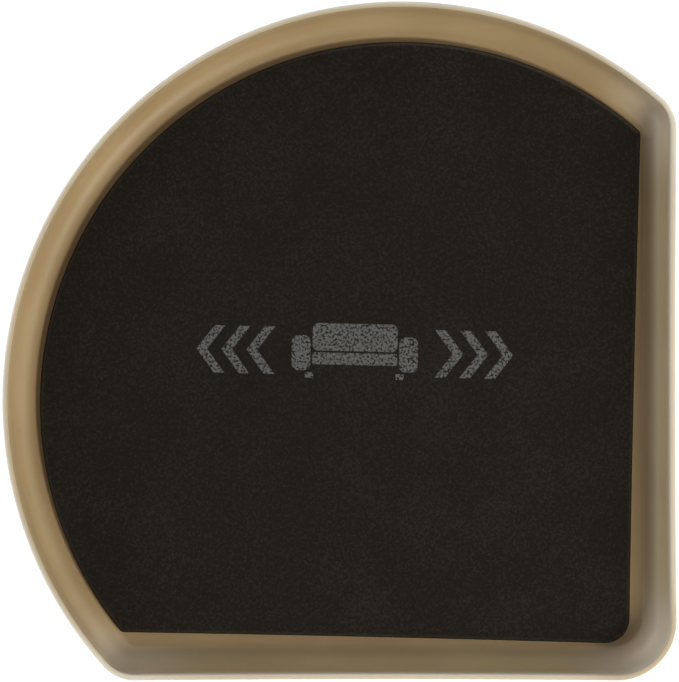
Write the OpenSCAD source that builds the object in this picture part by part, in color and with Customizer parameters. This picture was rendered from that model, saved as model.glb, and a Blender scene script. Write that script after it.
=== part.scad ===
// Furniture slider: a moulded D-shaped plastic tray with a soft foam pad stuck to its floor.
// Millimetres, +Z up. The origin is at the middle of the outline, on the face that glides.
// Reaches are measured from the centre of the curved side.

/* [Tray outline] */
// Radius of the curved side, at the foot of the wall
floor_arc_r = 117.5; // [100:0.1:140]
// Reach to the right-hand straight side, at the foot of the wall
floor_right = 77.9; // [65:0.1:90]
// Reach to the front straight side, at the foot of the wall
floor_front = 79.4; // [65:0.1:90]
// Radius of the square corner between the straight sides, at the foot of the wall
floor_heel_r = 9.5; // [4:0.1:25]
// Radius of the two corners beside the curved side, at the foot of the wall
floor_tip_r = 4; // [3.4:0.1:10]

/* [Tray wall] */
// Overall height from the gliding face to the top of the lip
tray_h = 16; // [13:0.1:24]
// Thickness of the moulding, the same in floor, cove and wall
shell_t = 1.8; // [1.4:0.1:2.6]
// Inside radius of the cove between floor and wall
cove_r = 6.75; // [4:0.05:8]
// Lean of the wall, outward from upright
wall_draft = 8; // [3:0.5:15]
// Rounding of both edges of the lip
lip_edge_r = 0.5; // [0.2:0.05:0.65]
// Depth of the shallow seat moulded into the floor
seat_depth = 0.2; // [0.1:0.05:0.4]

/* [Foam pad] */
// Thickness of the foam
pad_t = 2; // [1.5:0.1:8]
// Rounding of the pad's upper edge
pad_edge_r = 0.6; // [0.2:0.05:1]
// Gap left between the pad and the curved foot of the wall
arc_margin = 1.7; // [1.5:0.1:6]
// Gap left between the pad and the right-hand foot of the wall
right_margin = 3.4; // [3:0.1:8]
// Gap left between the pad and the front foot of the wall
front_margin = 4.2; // [4:0.1:8]
// How much sharper the pad's two corners beside its curved side are than the floor's
tip_sharper = 1.8; // [0:0.1:2.2]
// How much sharper the pad's square corner is than the floor's
heel_sharper = 1.5; // [0:0.1:3]
// Turn of the pad where it was stuck down, in degrees
pad_turn = -1.3; // [-1.6:0.05:0]
// Sideways offset of the pad where it was stuck down
pad_shift_x = 0.1; // [-0.5:0.1:0.6]
// Front to back offset of the pad where it was stuck down
pad_shift_y = -1; // [-1.4:0.1:0.5]

/* [Adhesive film] */
// Thickness of the two-sided film under the foam
film_t = 0.15; // [0.1:0.05:0.3]

/* [Hidden] */
// Facets in a full turn of the outline, and of the wall section
outline_fn = 96;
section_fn = 48;
quarter = 90;
// Share of a unit that the places where stretches of an outline meet are rounded to
grain_share = 0.001;
// Hair's turn, in degrees, by which turned stretches lap into their neighbours and join as one
lap_turn = 0.00001;
// Share of a straight side that is drawn from each of its ends
run_share = 0.75;

// Middle of the whole outline, seen from the centre of the curved side
mid_x = (floor_right - floor_arc_r) / 2;
mid_y = (floor_arc_r - floor_front) / 2;

// Floor inside the seat, and the heights stacked on it
floor_h = shell_t - seat_depth;
film_z = floor_h;
pad_z = film_z + film_t;

// The cove turns about a line above the foot of the wall
cove_z = shell_t + cove_r;
lip_sum = cove_r + lip_edge_r;
wall_run = fine((tray_h - lip_edge_r - cove_z + lip_sum * sin(wall_draft)) / cos(wall_draft));
lip_flat = shell_t - 2 * lip_edge_r;

// Outline of the pad, inside its rounded edge
pad_arc_in = floor_arc_r - arc_margin - pad_edge_r;
pad_right_in = floor_right - right_margin - pad_edge_r;
pad_front_in = floor_front - front_margin - pad_edge_r;
pad_heel_in = floor_heel_r - heel_sharper - pad_edge_r;
pad_tip_in = floor_tip_r - tip_sharper - pad_edge_r;

// Rounds a number, or each number in a list, to the model's grain.
function fine(v) = is_list(v) ? [for (e = v) fine(e)] : round(v / grain_share) * grain_share;

// Moves to a point in two steps, so that stretches that meet there share it to the last digit.
module place(p) {
    translate(fine(p)) translate(p - fine(p)) children();
}

// Carries an edge section, with a slab h thick inside it, round a D-shaped outline.
module d_form(arc, right, front, heel, tip, h) {
    right_turn = fine(acos((right - tip) / (arc - tip)));
    front_turn = fine(acos((front - tip) / (arc - tip)));
    right_end = (arc - tip) * [cos(right_turn), sin(right_turn), 0];
    front_end = (tip - arc) * [sin(front_turn), cos(front_turn), 0];
    heel_at = [right_end.x + tip - heel, front_end.y - tip + heel, 0];
    main_sweep = 3 * quarter - right_turn - front_turn;
    strip = heel + tip;

    edge_turn([0, 0, 0], arc, right_turn, main_sweep, h) children();
    edge_turn(right_end, tip, 4 * quarter, right_turn, h) children();
    edge_turn(front_end, tip, right_turn + main_sweep, front_turn, h) children();
    edge_turn(heel_at, heel, 3 * quarter, quarter, h) children();
    edge_run(right_end + [tip, 0, 0], right_end.y - heel_at.y, strip, h) children();
    mirror([1, 1, 0])
        edge_run([tip - front_end.y, -front_end.x, 0], heel_at.x - front_end.x, strip, h) children();
    linear_extrude(h)
        polygon([
            [right_end.x, right_end.y + tip / 2],
            [right_end.x + tip / 2, right_end.y - tip / 2],
            [heel_at.x + heel / 3, heel_at.y - heel / 3],
            [front_end.x + tip / 2, front_end.y - tip / 2],
            [front_end.x - tip / 2, front_end.y]
        ]);
}

// One turned stretch of that outline, about its own centre, lapping a hair into its neighbours.
module edge_turn(at, r, from, sweep, h) {
    place(at)
        rotate_extrude(angle = sweep + 2 * lap_turn, start = from - lap_turn, $fn = outline_fn)
            union() {
                square([r, h]);
                translate([r, 0]) children();
            }
}

// One straight stretch, drawn from both of its ends, with a strip of the slab inside it.
module edge_run(top, length, strip, h) {
    run = fine(run_share * length);
    for (start = [top, top - [0, length - run, 0]])
        place(start)
            rotate([quarter, 0, 0])
                linear_extrude(run) {
                    translate([-strip, 0]) square([strip, h]);
                    children();
                }
}

// Cove, leaning wall and rounded lip in one even thickness.
module wall_section() {
    reach = cove_r + shell_t;
    translate([0, cove_z]) {
        intersection() {
            difference() {
                circle(reach, $fn = section_fn);
                circle(cove_r, $fn = section_fn);
            }
            translate([0, -reach]) square(reach);
            rotate(-wall_draft)
                translate([-reach, -2 * reach]) square(2 * reach);
        }
        rotate(-wall_draft) {
            translate([cove_r, 0]) square([shell_t, wall_run]);
            translate([lip_sum, 0]) square([lip_flat, wall_run + lip_edge_r]);
            translate([lip_sum, wall_run]) circle(lip_edge_r, $fn = section_fn);
            translate([lip_sum + lip_flat, wall_run]) circle(lip_edge_r, $fn = section_fn);
        }
    }
}

// The pad's edge: square below, rounded above.
module pad_section() {
    square([pad_edge_r, pad_t - pad_edge_r]);
    intersection() {
        translate([0, pad_t - pad_edge_r]) circle(pad_edge_r, $fn = section_fn);
        square([pad_edge_r, pad_t]);
    }
}

// Puts a piece where the pad was stuck down, at height z.
module on_seat(z) {
    translate([pad_shift_x - mid_x, pad_shift_y - mid_y, z])
        rotate([0, 0, pad_turn]) children();
}

// Moulded tray: floor, cove, leaning wall and lip in one shell.
module slider_tray() {
    color([0.80, 0.73, 0.60])
        translate([-mid_x, -mid_y, 0])
            d_form(floor_arc_r, floor_right, floor_front, floor_heel_r, floor_tip_r, floor_h) wall_section();
}

// Two-sided film that holds the foam to the floor.
module adhesive_film() {
    color([0.78, 0.70, 0.45])
        on_seat(film_z)
            d_form(pad_arc_in, pad_right_in, pad_front_in, pad_heel_in, pad_tip_in, film_t)
                square([pad_edge_r, film_t]);
}

// Die-cut foam with a softly rounded upper edge.
module foam_pad() {
    color([0.14, 0.13, 0.11])
        on_seat(pad_z)
            d_form(pad_arc_in, pad_right_in, pad_front_in, pad_heel_in, pad_tip_in, pad_t)
                pad_section();
}

slider_tray();
adhesive_film();
foam_pad();
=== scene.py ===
import bpy
import numpy as np
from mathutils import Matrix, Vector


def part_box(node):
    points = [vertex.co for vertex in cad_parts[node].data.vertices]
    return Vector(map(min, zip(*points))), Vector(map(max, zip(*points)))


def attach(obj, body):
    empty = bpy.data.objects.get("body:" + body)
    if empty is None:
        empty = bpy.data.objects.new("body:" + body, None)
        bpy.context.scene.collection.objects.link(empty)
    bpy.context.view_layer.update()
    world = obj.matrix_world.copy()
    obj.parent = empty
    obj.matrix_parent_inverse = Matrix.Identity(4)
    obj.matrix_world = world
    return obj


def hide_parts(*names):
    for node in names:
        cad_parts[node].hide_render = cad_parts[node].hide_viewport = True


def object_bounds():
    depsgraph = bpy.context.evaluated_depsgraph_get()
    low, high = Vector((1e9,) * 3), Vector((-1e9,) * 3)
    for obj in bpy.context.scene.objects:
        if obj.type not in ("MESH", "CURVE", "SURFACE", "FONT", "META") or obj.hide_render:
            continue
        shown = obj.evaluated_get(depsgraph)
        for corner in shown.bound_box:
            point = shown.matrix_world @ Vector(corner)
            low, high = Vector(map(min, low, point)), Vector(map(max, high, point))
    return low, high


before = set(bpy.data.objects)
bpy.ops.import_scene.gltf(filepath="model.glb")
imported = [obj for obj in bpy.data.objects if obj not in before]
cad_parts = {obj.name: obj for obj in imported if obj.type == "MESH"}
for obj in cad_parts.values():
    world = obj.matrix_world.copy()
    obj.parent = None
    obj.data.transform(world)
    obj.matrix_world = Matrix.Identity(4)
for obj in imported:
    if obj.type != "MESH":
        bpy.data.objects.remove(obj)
cadLow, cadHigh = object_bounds()
mm = 0.001
print("frame loaded:", sorted(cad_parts))


# a socket that takes arithmetic: each operator adds a Math node
class Wire:
    def __init__(self, tree, socket=None):
        self.tree = tree
        self.socket = socket

    # any other node: its type, its settings first, then the values or links of its sockets
    def make(self, kind, settings=None, sockets=None, output=0):
        node = self.tree.nodes.new("ShaderNode" + kind)
        for key, value in (settings or {}).items():
            setattr(node, key, value)
        for key, value in (sockets or {}).items():
            if isinstance(value, Wire):
                self.tree.links.new(value.socket, node.inputs[key])
            else:
                node.inputs[key].default_value = value
        return Wire(self.tree, node.outputs[output])

    def maths(self, operation, first, second=0.0):
        return self.make("Math", {"operation": operation}, {0: first, 1: second})

    def __add__(self, other):
        return self.maths("ADD", self, other)

    __radd__ = __add__

    def __sub__(self, other):
        return self.maths("SUBTRACT", self, other)

    def __rsub__(self, other):
        return self.maths("SUBTRACT", other, self)

    def __mul__(self, other):
        return self.maths("MULTIPLY", self, other)

    __rmul__ = __mul__

    def __abs__(self):
        return self.maths("ABSOLUTE", self)

    def __pow__(self, other):
        return self.maths("POWER", self, other)

    def low(self, other):
        return self.maths("MINIMUM", self, other)

    def high(self, other):
        return self.maths("MAXIMUM", self, other)

    # 0 below the first value, 1 above the second, smooth between
    def rise(self, start, end):
        span = {"Value": self, "From Min": start, "From Max": end}
        return self.make("MapRange", {"interpolation_type": "SMOOTHSTEP"}, span)

    # one colour where self is 0, the other where it is 1
    def blend(self, first, second):
        return self.make("Mix", {"data_type": "RGBA"}, {0: self, 6: first, 7: second}, 2)

    def noise(self, scale, detail=2.0, roughness=0.5):
        look = {"Vector": self, "Scale": scale, "Detail": detail, "Roughness": roughness}
        return self.make("TexNoise", None, look)

    # surface normal with self as a height, its depth in metres
    def bump(self, strength, depth):
        return self.make("Bump", None, {"Strength": strength, "Distance": depth, "Height": self})

    # one of a place's three numbers, in millimetres
    def along(self, axis):
        return self.make("SeparateXYZ", None, {"Vector": self}, axis) * (1 / mm)

    # the painted light that skin keeps with each point
    def paintedLight(self):
        return self.make("Attribute", {"attribute_name": "paintedLight"}, None, "Fac")


# a new material: its tree as a Wire, its own place on the piece, and its shader
def newFinish(name):
    material = bpy.data.materials.new(name)
    material.use_nodes = True
    tree = Wire(material.node_tree)
    shader = material.node_tree.nodes["Principled BSDF"]
    place = tree.make("TexCoord", None, None, "Object")
    return material, tree, place, shader


# links what varies and sets what is constant on a shader's own sockets
def dress(shader, **sockets):
    for key, value in sockets.items():
        socket = shader.inputs[key.replace("_", " ")]
        if isinstance(value, Wire):
            value.tree.links.new(value.socket, socket)
        else:
            socket.default_value = value


# 0 up to the first value, 1 from the second on, t t (3 - 2t) between
def ease(value, first, last):
    t = np.clip((value - first) / (last - first), 0.0, 1.0)
    return t * t * (3 - 2 * t)


# D outline about the centre of its curved side, anticlockwise: the curved side, the front tip, the
# front side, the square corner, the right side and the right tip, each tangent to the next.
# Gives points, outward normals, and 4t(1 - t) along each straight side as a share of its bow.
def dOutline(form, steps):
    arc, right, front, heel, tip = (form[k] for k in ("arc", "right", "front", "heel", "tip"))
    rightTurn = np.arccos((right - tip) / (arc - tip))
    frontTurn = np.arccos((front - tip) / (arc - tip))
    rightTip = (arc - tip) * np.array([np.cos(rightTurn), np.sin(rightTurn)])
    frontTip = (tip - arc) * np.array([np.sin(frontTurn), np.cos(frontTurn)])
    heelAt = np.array([right - heel, heel - front])
    down, across = np.array([0.0, -1.0]), np.array([1.0, 0.0])

    def turn(centre, radius, start, sweep, count):
        angle = start + sweep * np.arange(count) / count
        normal = np.stack([np.cos(angle), np.sin(angle)], 1)
        return centre + radius * normal, normal, np.zeros(count)

    def run(first, last, normal, count):
        t = np.arange(count) / count
        return first + (last - first) * t[:, None], np.tile(normal, (count, 1)), 4 * t * (1 - t)

    stretches = (
        turn(np.zeros(2), arc, rightTurn, 1.5 * np.pi - rightTurn - frontTurn, steps["arc"]),
        turn(frontTip, tip, 1.5 * np.pi - frontTurn, frontTurn, steps["tip"]),
        run(frontTip + tip * down, heelAt + heel * down, down, steps["side"]),
        turn(heelAt, heel, -0.5 * np.pi, 0.5 * np.pi, steps["heel"]),
        run(heelAt + heel * across, rightTip + tip * across, across, steps["side"]),
        turn(rightTip, tip, 0.0, rightTurn, steps["tip"]),
    )
    return [np.concatenate(part) for part in zip(*stretches)]


# each row of a section, as (offset, height), carried round an outline along its normals,
# less how far the outline is drawn in there
def carry(section, base, normal, drawn=0.0):
    plan = base + (section[:, :1] - drawn)[:, :, None] * normal
    heights = np.broadcast_to(section[:, 1:, None], plan.shape[:2] + (1,))
    return np.concatenate([plan, heights], 2)


# flat rings at one height, at shares of the way from the outline's middle out to a ring
def flatRings(ring, base, shares, height):
    middle = base.mean(0)
    plan = middle + np.reshape(shares, (-1, 1, 1)) * (ring[:, :2] - middle)
    return np.concatenate([plan, np.full(plan.shape[:2] + (1,), height)], 2)


# closed skin through rings of points, from a pole inside the first ring to a pole inside the last,
# with a number for each ring, or for each point of it, kept as the points' own painted light
def skin(name, rings, paintedLight, material, sharp=40.0):
    ringCount, count = rings.shape[:2]
    poles = rings[[0, -1]].mean(1)
    points = np.concatenate([poles, rings.reshape(-1, 3)]) * mm
    here = 2 + np.arange(ringCount * count).reshape(ringCount, count)
    beside = np.roll(here, -1, axis=1)
    quads = np.stack([here[:-1], here[1:], beside[1:], beside[:-1]], 2).reshape(-1, 4)
    firstFan = np.stack([np.zeros(count, int), here[0], beside[0]], 1)
    lastFan = np.stack([np.ones(count, int), beside[-1], here[-1]], 1)
    mesh = bpy.data.meshes.new(name)
    mesh.from_pydata(points.tolist(), [], quads.tolist() + firstFan.tolist() + lastFan.tolist())
    mesh.polygons.foreach_set("use_smooth", np.ones(len(mesh.polygons), bool))
    paintedLight = np.broadcast_to(paintedLight, rings.shape[:2])
    pointPaintedLight = np.concatenate([paintedLight[[0, -1], 0], paintedLight.reshape(-1)])
    mesh.attributes.new("paintedLight", "FLOAT", "POINT").data.foreach_set("value", pointPaintedLight.astype(np.float32))
    mesh.set_sharp_from_angle(angle=np.radians(sharp))
    mesh.materials.append(material)
    piece = bpy.data.objects.new(name, mesh)
    bpy.context.scene.collection.objects.link(piece)
    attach(piece, "root")
    print(name, len(mesh.polygons), "faces")
    return piece


# Moulded tray, with its corners listed as front tip, square corner and right tip
trayDesign = {
    "form": {"arc": 117.5, "right": 77.9, "front": 79.4, "heel": 9.5, "tip": 4.0},  # foot of the wall, mm
    "wall": {
        "shell": 1.8, "cove": 6.75, "lean": 8.0, "lipEdge": 0.5,  # as moulded, mm and degrees
        "seat": 0.2, "seatRun": 1.3,  # soft step down to the floor that the pad lies on
        "bow": 0.45,  # how far the lip is drawn in at the middle of a straight side
    },
    # painted light on the tray, from 0 to 1, kept with each point: a painted highlight on the lip, and
    # painted light up the walls and at the corners
    "paintedLightShares": {
        "lip": 0.71, "lipDeep": 1.05,  # painted highlight on the lip of a straight side, and its depth as a share of its edge radius
        "lipCorners": (0.2, -0.25, 0.2),  # how much more painted highlight the lip has at each corner
        "corners": (0.40, 0.62, 0.40), "reach": 14.0,  # painted light on the wall at each corner, and how far that goes, mm
        "cornerFoot": (-0.3, 0.1),  # heights about the shell's between which the corners' painted light begins
        "climbs": ((0.36, 8.0, 15.0), (0.5, 12.0, 15.5)),  # painted light up the wall: how much, between which heights
        "curved": 0.2,  # share of those on the curved side
    },
    "steps": {
        "arc": 300, "tip": 24, "side": 60, "heel": 32,  # points along each stretch of the outline
        "seat": 9, "cove": 22, "wall": 10, "lip": 7,  # and up each stretch of the section
        "floors": (0.02, 0.25, 0.5, 0.75, 0.92),  # flat rings, as shares of the way out to the wall
    },
    "finish": {
        "tan": (0.48, 0.342, 0.176, 1), "paleTan": (0.52, 0.377, 0.199, 1),
        "upper": (0.68, 0.57, 0.41, 1),  # painted light on the upper wall, where the painted light is a half
        "lip": (0.95, 0.875, 0.745, 1),  # painted highlight on the lip, where it is 1
        # slow clouds vary the tan between two tones, and vary the painted light a little
        "clouds": 28.0, "cloudSpan": (0.35, 0.65), "cloudOnPaintedLight": 0.2,
        "grain": 2600.0, "grainDepth": 0.00002, "grainStrength": 0.5,
        "roughness": 0.42, "roughnessSpread": 0.06,
        "glow": 0.5, "glowReach": (1.0, 0.85, 0.65), "glowDepth": 0.002,
    },
}
trayForm = trayDesign["form"]
trayHeight = (cadHigh.z - cadLow.z) / mm
arcCentre = 0.5 * np.array([trayForm["arc"] - trayForm["right"], trayForm["front"] - trayForm["arc"]])


# Section of the wall as (offset from the foot, height): the soft step, the cove, the leaning wall, the
# rounded lip, and the same back down outside at one shell's thickness. All but the step is drawn
# upright, then leaned about the cove's centre.
def traySection(wall, steps, height):
    lean = np.radians(wall["lean"])
    cove, edge = wall["cove"], wall["lipEdge"]
    reach = cove + wall["shell"]
    rise = (height - edge - reach + (cove + edge) * np.sin(lean)) / np.cos(lean)
    coveTurn = np.linspace(lean - 0.5 * np.pi, 0.0, steps["cove"])
    lipTurn = np.linspace(np.pi, 0.5 * np.pi, steps["lip"])
    wallRise = np.linspace(0.0, rise, steps["wall"])[1:-1]
    inside = [
        cove * np.stack([np.cos(coveTurn), np.sin(coveTurn)], 1),
        np.stack([np.full_like(wallRise, cove), wallRise], 1),
        [cove + edge, rise] + edge * np.stack([np.cos(lipTurn), np.sin(lipTurn)], 1),
    ]
    outside = [
        [reach - edge, rise] + edge * np.stack([-np.cos(lipTurn), np.sin(lipTurn)], 1)[::-1],
        np.stack([np.full_like(wallRise, reach), wallRise[::-1]], 1),
        reach * np.stack([np.cos(coveTurn), np.sin(coveTurn)], 1)[::-1],
    ]
    upright = np.concatenate(inside + outside)
    leaned = np.stack([
        upright[:, 0] * np.cos(lean) + upright[:, 1] * np.sin(lean),
        reach - upright[:, 0] * np.sin(lean) + upright[:, 1] * np.cos(lean),
    ], 1)
    t = np.linspace(0.0, 1.0, steps["seat"])[:-1]
    sunk = wall["seat"] * (1 - ease(t, 0.0, 1.0))
    step = np.stack([(t - 1) * wall["seatRun"], wall["shell"] - sunk], 1)
    return np.concatenate([step, leaned])


# How much painted light each point has. The wall gets more painted light with height, and by a bell of the
# distance from the middle of a corner. The lip has an even painted highlight on the straight sides, whose
# normals have x - y of 1 or more, and one that grows as a square root from its inner to its outer edge on
# the curved side, where x - y is below 0.
def trayPaintedLight(design, section, base, normal, height):
    wall, paintedLightShares, steps = design["wall"], design["paintedLightShares"], design["steps"]
    offset, z = section[:, :1], section[:, 1:]
    straight = ease(normal[:, 0] - normal[:, 1], 0.0, 1.0)
    heelStart = steps["arc"] + steps["tip"] + steps["side"]
    rightStart = heelStart + steps["heel"] + steps["side"]
    halfTip, halfHeel = steps["tip"] // 2, steps["heel"] // 2
    middles = [steps["arc"] + halfTip, heelStart + halfHeel, rightStart + halfTip]
    away = np.linalg.norm(base[:, None] - base[middles], axis=2)
    corner = np.exp(-(away / paintedLightShares["reach"]) ** 2)
    onLip = z > height - paintedLightShares["lipDeep"] * wall["lipEdge"]
    lipIn, lipOut = offset[onLip].min(), offset[onLip].max()
    across = np.sqrt(np.clip((offset - lipIn) / (lipOut - lipIn), 0.0, 1.0))
    lipPaintedHighlight = across * (1 - straight) + paintedLightShares["lip"] * straight + corner @ paintedLightShares["lipCorners"]
    climb = sum(share * ease(z, first, last) for share, first, last in paintedLightShares["climbs"])
    wallPaintedLight = climb * (paintedLightShares["curved"] + (1 - paintedLightShares["curved"]) * straight)
    cornerPaintedLight = (corner @ paintedLightShares["corners"]) * ease(z - wall["shell"], *paintedLightShares["cornerFoot"])
    return np.where(onLip, lipPaintedHighlight, np.maximum(wallPaintedLight, cornerPaintedLight))


# the section carried round the outline, with the straight sides drawn in by the square of the height,
# and floors that shrink to the middle of the outline
def trayRings(design, height):
    wall, steps = design["wall"], design["steps"]
    base, normal, bow = dOutline(design["form"], steps)
    section = traySection(wall, steps, height)
    rings = carry(section, base, normal, wall["bow"] * (section[:, 1:] / height) ** 2 * bow)
    seatFloor = flatRings(rings[0], base, steps["floors"], section[0, 1])
    underside = flatRings(rings[-1], base, steps["floors"][::-1], 0.0)
    inner = np.zeros(seatFloor.shape[:2])
    paintedLight = np.concatenate([inner, trayPaintedLight(design, section, base, normal, height), inner])
    return np.concatenate([seatFloor, rings, underside]) + np.append(arcCentre, 0.0), paintedLight


# satin moulded plastic, a little cloudy and waxy, with a fine even grain, a painted highlight on the lip,
# and painted light up the walls and at the corners
def trayPlastic(look):
    material, tree, place, shader = newFinish("trayPlastic")
    clouds = place.noise(look["clouds"])
    grain = place.noise(look["grain"])
    paintedLight = tree.paintedLight() * ((clouds - 0.5) * look["cloudOnPaintedLight"] + 1.0)
    body = clouds.rise(*look["cloudSpan"]).blend(look["tan"], look["paleTan"])
    # painted light: up to a half the tan blends towards the lit upper-wall colour, above a half towards the
    # lip's painted highlight
    wall = (paintedLight * 2.0).low(1.0).blend(body, look["upper"])
    dress(
        shader,
        Base_Color=(paintedLight * 2.0 - 1.0).high(0.0).low(1.0).blend(wall, look["lip"]),
        Roughness=(clouds + grain) * look["roughnessSpread"] + look["roughness"],
        Normal=grain.bump(look["grainStrength"], look["grainDepth"]),
        Subsurface_Weight=look["glow"],
        Subsurface_Radius=look["glowReach"],
        Subsurface_Scale=look["glowDepth"],
    )
    return material


tray = skin("trayShell", *trayRings(trayDesign, trayHeight), trayPlastic(trayDesign["finish"]))
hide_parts("slider_tray")


# Foam pad, die-cut to the tray's outline less a margin, stuck down a little turned and off centre
padDesign = {
    "less": {"arc": 1.7, "right": 3.4, "front": 4.2, "heel": 1.5, "tip": 1.8},  # than the tray's form, mm
    "place": {"turn": -1.3, "across": 0.1, "along": -1.0},  # degrees and mm
    "edge": {
        "round": 0.6, "under": 0.2,  # upper and lower edge radius, mm
        "waist": 0.12,  # how far the cut side draws in at half height
        "bow": 0.3,  # how far a straight side is drawn in at its middle
        "highlightTurn": 72.0,  # bearing of the stretch of upper edge with the most painted highlight, degrees
        "highlightFrom": 0.75, "highlightLeast": 0.25,  # cosine from it where that begins, and the painted highlight elsewhere
    },
    "top": {
        "swell": 0.05, "wave": 31.0,  # depth of the slow unevenness of the sheet, and its length, mm
        "rate": (2.0, 1.7), "start": (0.6, 1.1),  # its sines across and along
        "fade": 8,  # power of the way out by which it fades towards the edge
    },
    "steps": {
        "arc": 220, "tip": 16, "side": 60, "heel": 28,  # points along each stretch of the outline
        "edge": 8, "cut": 7,  # and down each stretch of the section
        "top": (0.015, 0.96, 44), "rim": (0.98, 0.992),  # flat rings, as shares of the way out
        "below": (0.9, 0.5, 0.02),
    },
    "finish": {
        "foam": (0.0163, 0.0135, 0.0100, 1), "speck": (0.0299, 0.0252, 0.0195, 1),
        "cells": 1150.0, "cellDetail": 3.0, "cellMix": 0.65, "cellDepth": 0.00012, "cellStrength": 0.6,
        "mottle": 45.0, "mottleSpread": 0.25, "speckSpan": (0.42, 0.72),
        # painted highlight on the rounded upper edge: its colour, how much the cells break it up, and its
        # least share
        "edgeHighlight": (0.100, 0.086, 0.067, 1), "highlightSpread": 0.6, "highlightLeast": 0.2,
        "ink": (0.155, 0.155, 0.150, 1), "inkCells": 1300.0, "inkMix": 0.6, "inkSpan": (0.36, 0.56),
        "roughness": 0.95, "cellSheen": 0.12, "inkSheen": 0.25, "gloss": 0.12,
    },
    # printed design in millimetres: rounded blocks of a settee as (middle, half size, corner), mirrored
    # left to right, and arrowheads that point away from it
    "print": {
        "across": 4.9, "along": -3.5, "soft": 0.12,
        "settee": (
            ((0.0, 4.6), (13.6, 4.4), 2.0), ((0.0, -2.3), (13.6, 1.9), 0.8),
            ((17.2, -0.6), (3.0, 5.6), 2.2), ((14.5, -7.7), (1.3, 0.9), 0.4),
        ),
        "tips": (33.0, 41.0, 49.0), "slope": 0.75, "half": 1.7, "high": 7.6,
    },
}
padForm = {key: trayForm[key] - less for key, less in padDesign["less"].items()}
padLow, padHigh = (corner.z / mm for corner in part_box("foam_pad"))


# outline and normals of what is cut to the pad's form, with the straight sides drawn in by their bow
def padOutline(form, design):
    base, normal, bow = dOutline(form, design["steps"])
    return base - design["edge"]["bow"] * bow[:, None] * normal, normal


# turns and shifts rings drawn about the curved side's centre to where the pad was stuck down
def onSeat(rings, place):
    turn = np.radians(place["turn"])
    x = rings[..., 0] * np.cos(turn) - rings[..., 1] * np.sin(turn) + place["across"] + arcCentre[0]
    y = rings[..., 0] * np.sin(turn) + rings[..., 1] * np.cos(turn) + place["along"] + arcCentre[1]
    return np.stack([x, y, rings[..., 2]], -1)


# Rings from the middle of the top, out over the rounded edge, down the cut side, which is drawn in at
# half height by a half sine, and back under. The top sinks by the product of two slow sines.
# The rounded edge gets a painted highlight by a squared sine across it, strongest towards one bearing.
def padRings(design, base, normal):
    edge, top, steps = design["edge"], design["top"], design["steps"]
    over, under = edge["round"], edge["under"]
    sideTop = padHigh - over
    sideHigh = sideTop - padLow - under
    turn = np.linspace(0.5 * np.pi, 0.0, steps["edge"])
    down = np.linspace(0.0, 1.0, steps["cut"])[1:-1]
    section = np.concatenate([
        np.stack([np.cos(turn) * over - over, sideTop + np.sin(turn) * over], 1),
        np.stack([-edge["waist"] * np.sin(np.pi * down), sideTop - down * sideHigh], 1),
        np.stack([np.sin(turn) * under - under, padLow + under - np.cos(turn) * under], 1)[::-1],
    ])
    rings = carry(section, base, normal)
    shares = np.append(np.linspace(*steps["top"]), steps["rim"])
    face = flatRings(rings[0], base, shares, padHigh)
    waves = np.sin(face[..., :2] / top["wave"] * top["rate"] + top["start"]).prod(-1)
    face[..., 2] -= top["swell"] * (0.5 + 0.5 * waves) * (1 - shares[:, None] ** top["fade"])
    below = flatRings(rings[-1], base, steps["below"], padLow)
    # painted highlight across the rounded edge
    shoulder = np.where(section[:, 1] > sideTop, np.sin(np.pi * section[:, 0] / over) ** 2, 0.0)
    shoulder[0] = 1.0  # the line where the top meets the rounding
    paintedLight = np.concatenate([np.zeros(len(face)), shoulder, np.zeros(len(below))])
    highlightTurn = np.radians(edge["highlightTurn"])
    towards = ease(normal @ [np.cos(highlightTurn), np.sin(highlightTurn)], edge["highlightFrom"], 1.0)
    edgeHighlight = edge["highlightLeast"] + (1 - edge["highlightLeast"]) * towards
    return onSeat(np.concatenate([face, rings, below]), design["place"]), paintedLight[:, None] * edgeHighlight


# inside of the printed design: each block is its corner radius less the distance from its inner
# rectangle, and an arrowhead is a band of |x| + slope |y|
def printedDesign(tree, place, look, turn):
    middle = (look["across"] * mm, look["along"] * mm, 0.0)
    turned = {"Vector": place, "Location": middle, "Rotation": (0.0, 0.0, np.radians(turn))}
    onPad = tree.make("Mapping", {"vector_type": "TEXTURE"}, turned)
    x, y = abs(onPad.along("X")), onPad.along("Y")
    band = x + abs(y) * look["slope"]
    withinHigh = look["high"] - abs(y)
    shapes = [(look["half"] - abs(band - tip)).low(withinHigh) for tip in look["tips"]]
    for (across, along), (halfWide, halfHigh), corner in look["settee"]:
        outX = (abs(x - across) - (halfWide - corner)).high(0.0)
        outY = (abs(y - along) - (halfHigh - corner)).high(0.0)
        shapes.append(corner - (outX ** 2.0 + outY ** 2.0) ** 0.5)
    inside = shapes[0]
    for shape in shapes[1:]:
        inside = inside.high(shape)
    return inside.rise(-look["soft"], look["soft"])


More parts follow.
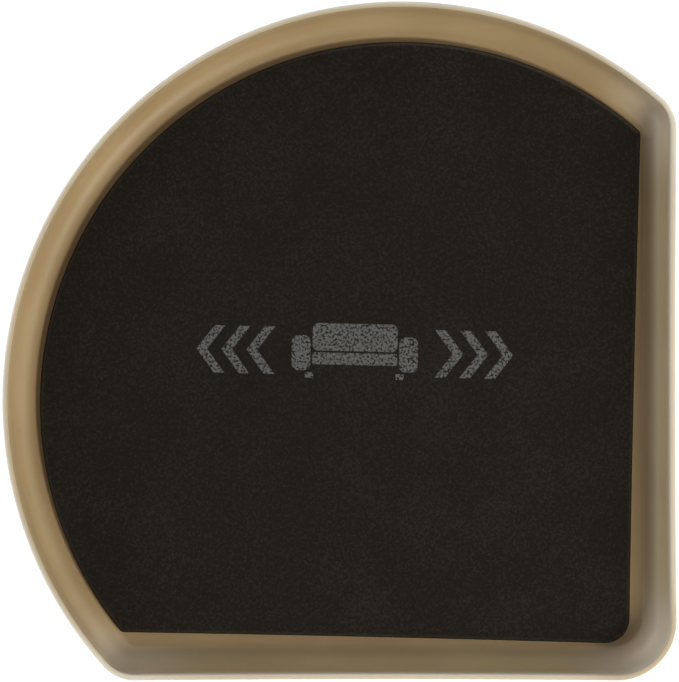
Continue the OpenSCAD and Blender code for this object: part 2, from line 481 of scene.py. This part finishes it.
# matt black closed-cell foam: fine pale specks over a slow mottle, with the cells as a fine bump, a painted
# highlight along the upper edges, and a thin speckled print
def padFoam(design):
    look = design["finish"]
    material, tree, place, shader = newFinish("padFoam")
    cells = place.noise(look["cells"], look["cellDetail"], look["cellMix"])
    mottle = place.noise(look["mottle"])
    speck = (cells + (mottle - 0.5) * look["mottleSpread"]).rise(*look["speckSpan"])
    # painted highlight along the rounded upper edge, broken by the cells
    edgeHighlight = tree.paintedLight() * (cells * look["highlightSpread"] + look["highlightLeast"])
    inkCells = place.noise(look["inkCells"], roughness=look["inkMix"])
    printed = printedDesign(tree, place, design["print"], design["place"]["turn"])
    ink = printed * inkCells.rise(*look["inkSpan"])
    bare = edgeHighlight.blend(speck.blend(look["foam"], look["speck"]), look["edgeHighlight"])
    dress(
        shader,
        Base_Color=ink.blend(bare, look["ink"]),
        Roughness=look["roughness"] - cells * look["cellSheen"] - ink * look["inkSheen"],
        Normal=cells.bump(look["cellStrength"], look["cellDepth"]),
        Specular_IOR_Level=look["gloss"],
    )
    return material


padBase, padNormal = padOutline(padForm, padDesign)
pad = skin("padSheet", *padRings(padDesign, padBase, padNormal), padFoam(padDesign))
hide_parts("foam_pad")


# Two-sided film under the pad, cut with it
filmDesign = {
    "inset": 0.05, "round": 0.05,  # of its edge, mm
    "flats": (0.02, 0.5, 0.95),  # flat rings, as shares of the way out
    "amber": (0.55, 0.43, 0.20, 1), "clearAmber": (0.62, 0.50, 0.26, 1),
    "ripple": 90.0, "rippleDepth": 0.0001, "rippleStrength": 0.2,
    "roughness": 0.28, "roughnessSpread": 0.1,
}
filmLow, filmHigh = (corner.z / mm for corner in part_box("adhesive_film"))


# rings over the top, round the edge and under, all flat
def filmRings(design, base, normal):
    inset, edge = design["inset"], design["round"]
    section = np.array([
        [-inset - edge, filmHigh], [-inset, filmHigh - edge],
        [-inset, filmLow + edge], [-inset - edge, filmLow],
    ])
    rings = carry(section, base, normal)
    face = flatRings(rings[0], base, design["flats"], filmHigh)
    below = flatRings(rings[-1], base, design["flats"][::-1], filmLow)
    return onSeat(np.concatenate([face, rings, below]), padDesign["place"]), np.zeros((1, 1))


# glossy amber film, faintly rippled
def filmAdhesive(look):
    material, tree, place, shader = newFinish("filmAdhesive")
    ripple = place.noise(look["ripple"])
    dress(
        shader,
        Base_Color=ripple.blend(look["amber"], look["clearAmber"]),
        Roughness=ripple * look["roughnessSpread"] + look["roughness"],
        Normal=ripple.bump(look["rippleStrength"], look["rippleDepth"]),
    )
    return material


film = skin("filmSheet", *filmRings(filmDesign, padBase, padNormal), filmAdhesive(filmDesign))
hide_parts("adhesive_film")


# Pale floor, a little bright of its own as a lit studio table is
floorDesign = {
    "half": 6000.0, "drop": 0.05,  # half its side, and how far it lies below the tray, mm
    "white": (0.30, 0.30, 0.30, 1), "roughness": 0.9, "shine": 0.96,
}


def studioFloor(look):
    material, *_, shader = newFinish("studioFloor")
    dress(
        shader, Base_Color=look["white"], Roughness=look["roughness"], Specular_IOR_Level=0.0,
        Emission_Color=(1, 1, 1, 1), Emission_Strength=look["shine"],
    )
    half = look["half"]
    corners = np.array([[-half, -half], [half, -half], [half, half], [-half, half]])
    corners = np.column_stack([corners, np.full(4, cadLow.z / mm - look["drop"])]) * mm
    mesh = bpy.data.meshes.new("studioFloor")
    mesh.from_pydata(corners.tolist(), [], [(0, 1, 2, 3)])
    mesh.materials.append(material)
    floor = bpy.data.objects.new("studioFloor", mesh)
    bpy.context.scene.collection.objects.link(floor)


studioFloor(floorDesign)


# Camera straight above the middle, with a long lens that frames the lip as photographed
shot = {
    "distance": 1900.0,  # above the lip, mm
    "pixel": 0.318, "high": 682,  # mm to the pixel at the lip, and pixels in the picture's height
    "sensor": 36.0, "clip": 100.0,  # its width in mm, and how far the camera sees in metres
}


def studioCamera(shot):
    data = bpy.data.cameras.new("studioCamera")
    data.sensor_width = shot["sensor"]
    data.lens = shot["sensor"] * shot["distance"] / (shot["pixel"] * shot["high"])
    data.clip_end = shot["clip"]
    camera = bpy.data.objects.new("studioCamera", data)
    camera.location = (0.0, 0.0, cadHigh.z + shot["distance"] * mm)
    bpy.context.scene.collection.objects.link(camera)
    bpy.context.scene.camera = camera


studioCamera(shot)


# Soft round lights, all at one distance, and the light of the room's air. Bearings are anticlockwise
# from +X and heights above the floor, in degrees. Distance and sizes are in metres, powers in watts.
lightDesign = {
    "distance": 1.5,
    "soft": {
        "keySoft": {"bearing": 316, "height": 40, "size": 0.5, "power": 13.0, "colour": (1.0, 0.94, 0.81)},
        "lowSoft": {"bearing": 150, "height": 10, "size": 0.6, "power": 5.6, "colour": (0.80, 0.89, 1.0)},
        "highSoft": {"bearing": 146, "height": 34, "size": 0.7, "power": 2.8, "colour": (0.98, 0.97, 0.92)},
        "frontSoft": {"bearing": 196, "height": 16, "size": 0.7, "power": 4.6, "colour": (0.87, 0.93, 1.0)},
        "sideSoft": {"bearing": 0, "height": 24, "size": 0.7, "power": 3.8, "colour": (1.0, 1.0, 1.0)},
        "backSoft": {"bearing": 48, "height": 13, "size": 0.7, "power": 3.6, "colour": (0.87, 0.93, 1.0)},
    },
    "air": {"strength": 0.14, "colour": (0.74, 0.85, 1.0, 1)},
}


def studioLights(design):
    for name, look in design["soft"].items():
        turn, lift = np.radians([look["bearing"], look["height"]])
        data = bpy.data.lights.new(name, "AREA")
        data.shape = "DISK"
        data.size = look["size"]
        data.energy = look["power"]
        data.color = look["colour"]
        light = bpy.data.objects.new(name, data)
        way = np.array([np.cos(turn) * np.cos(lift), np.sin(turn) * np.cos(lift), np.sin(lift)])
        light.location = way * design["distance"]
        light.rotation_euler = (0.5 * np.pi - lift, 0.0, turn + 0.5 * np.pi)
        bpy.context.scene.collection.objects.link(light)
    world = bpy.data.worlds.new("studioAir")
    world.use_nodes = True
    air = world.node_tree.nodes["Background"]
    air.inputs["Strength"].default_value = design["air"]["strength"]
    air.inputs["Color"].default_value = design["air"]["colour"]
    bpy.context.scene.world = world


studioLights(lightDesign)
bpy.context.scene.view_settings.view_transform = "Standard"
print("camera and lights placed")
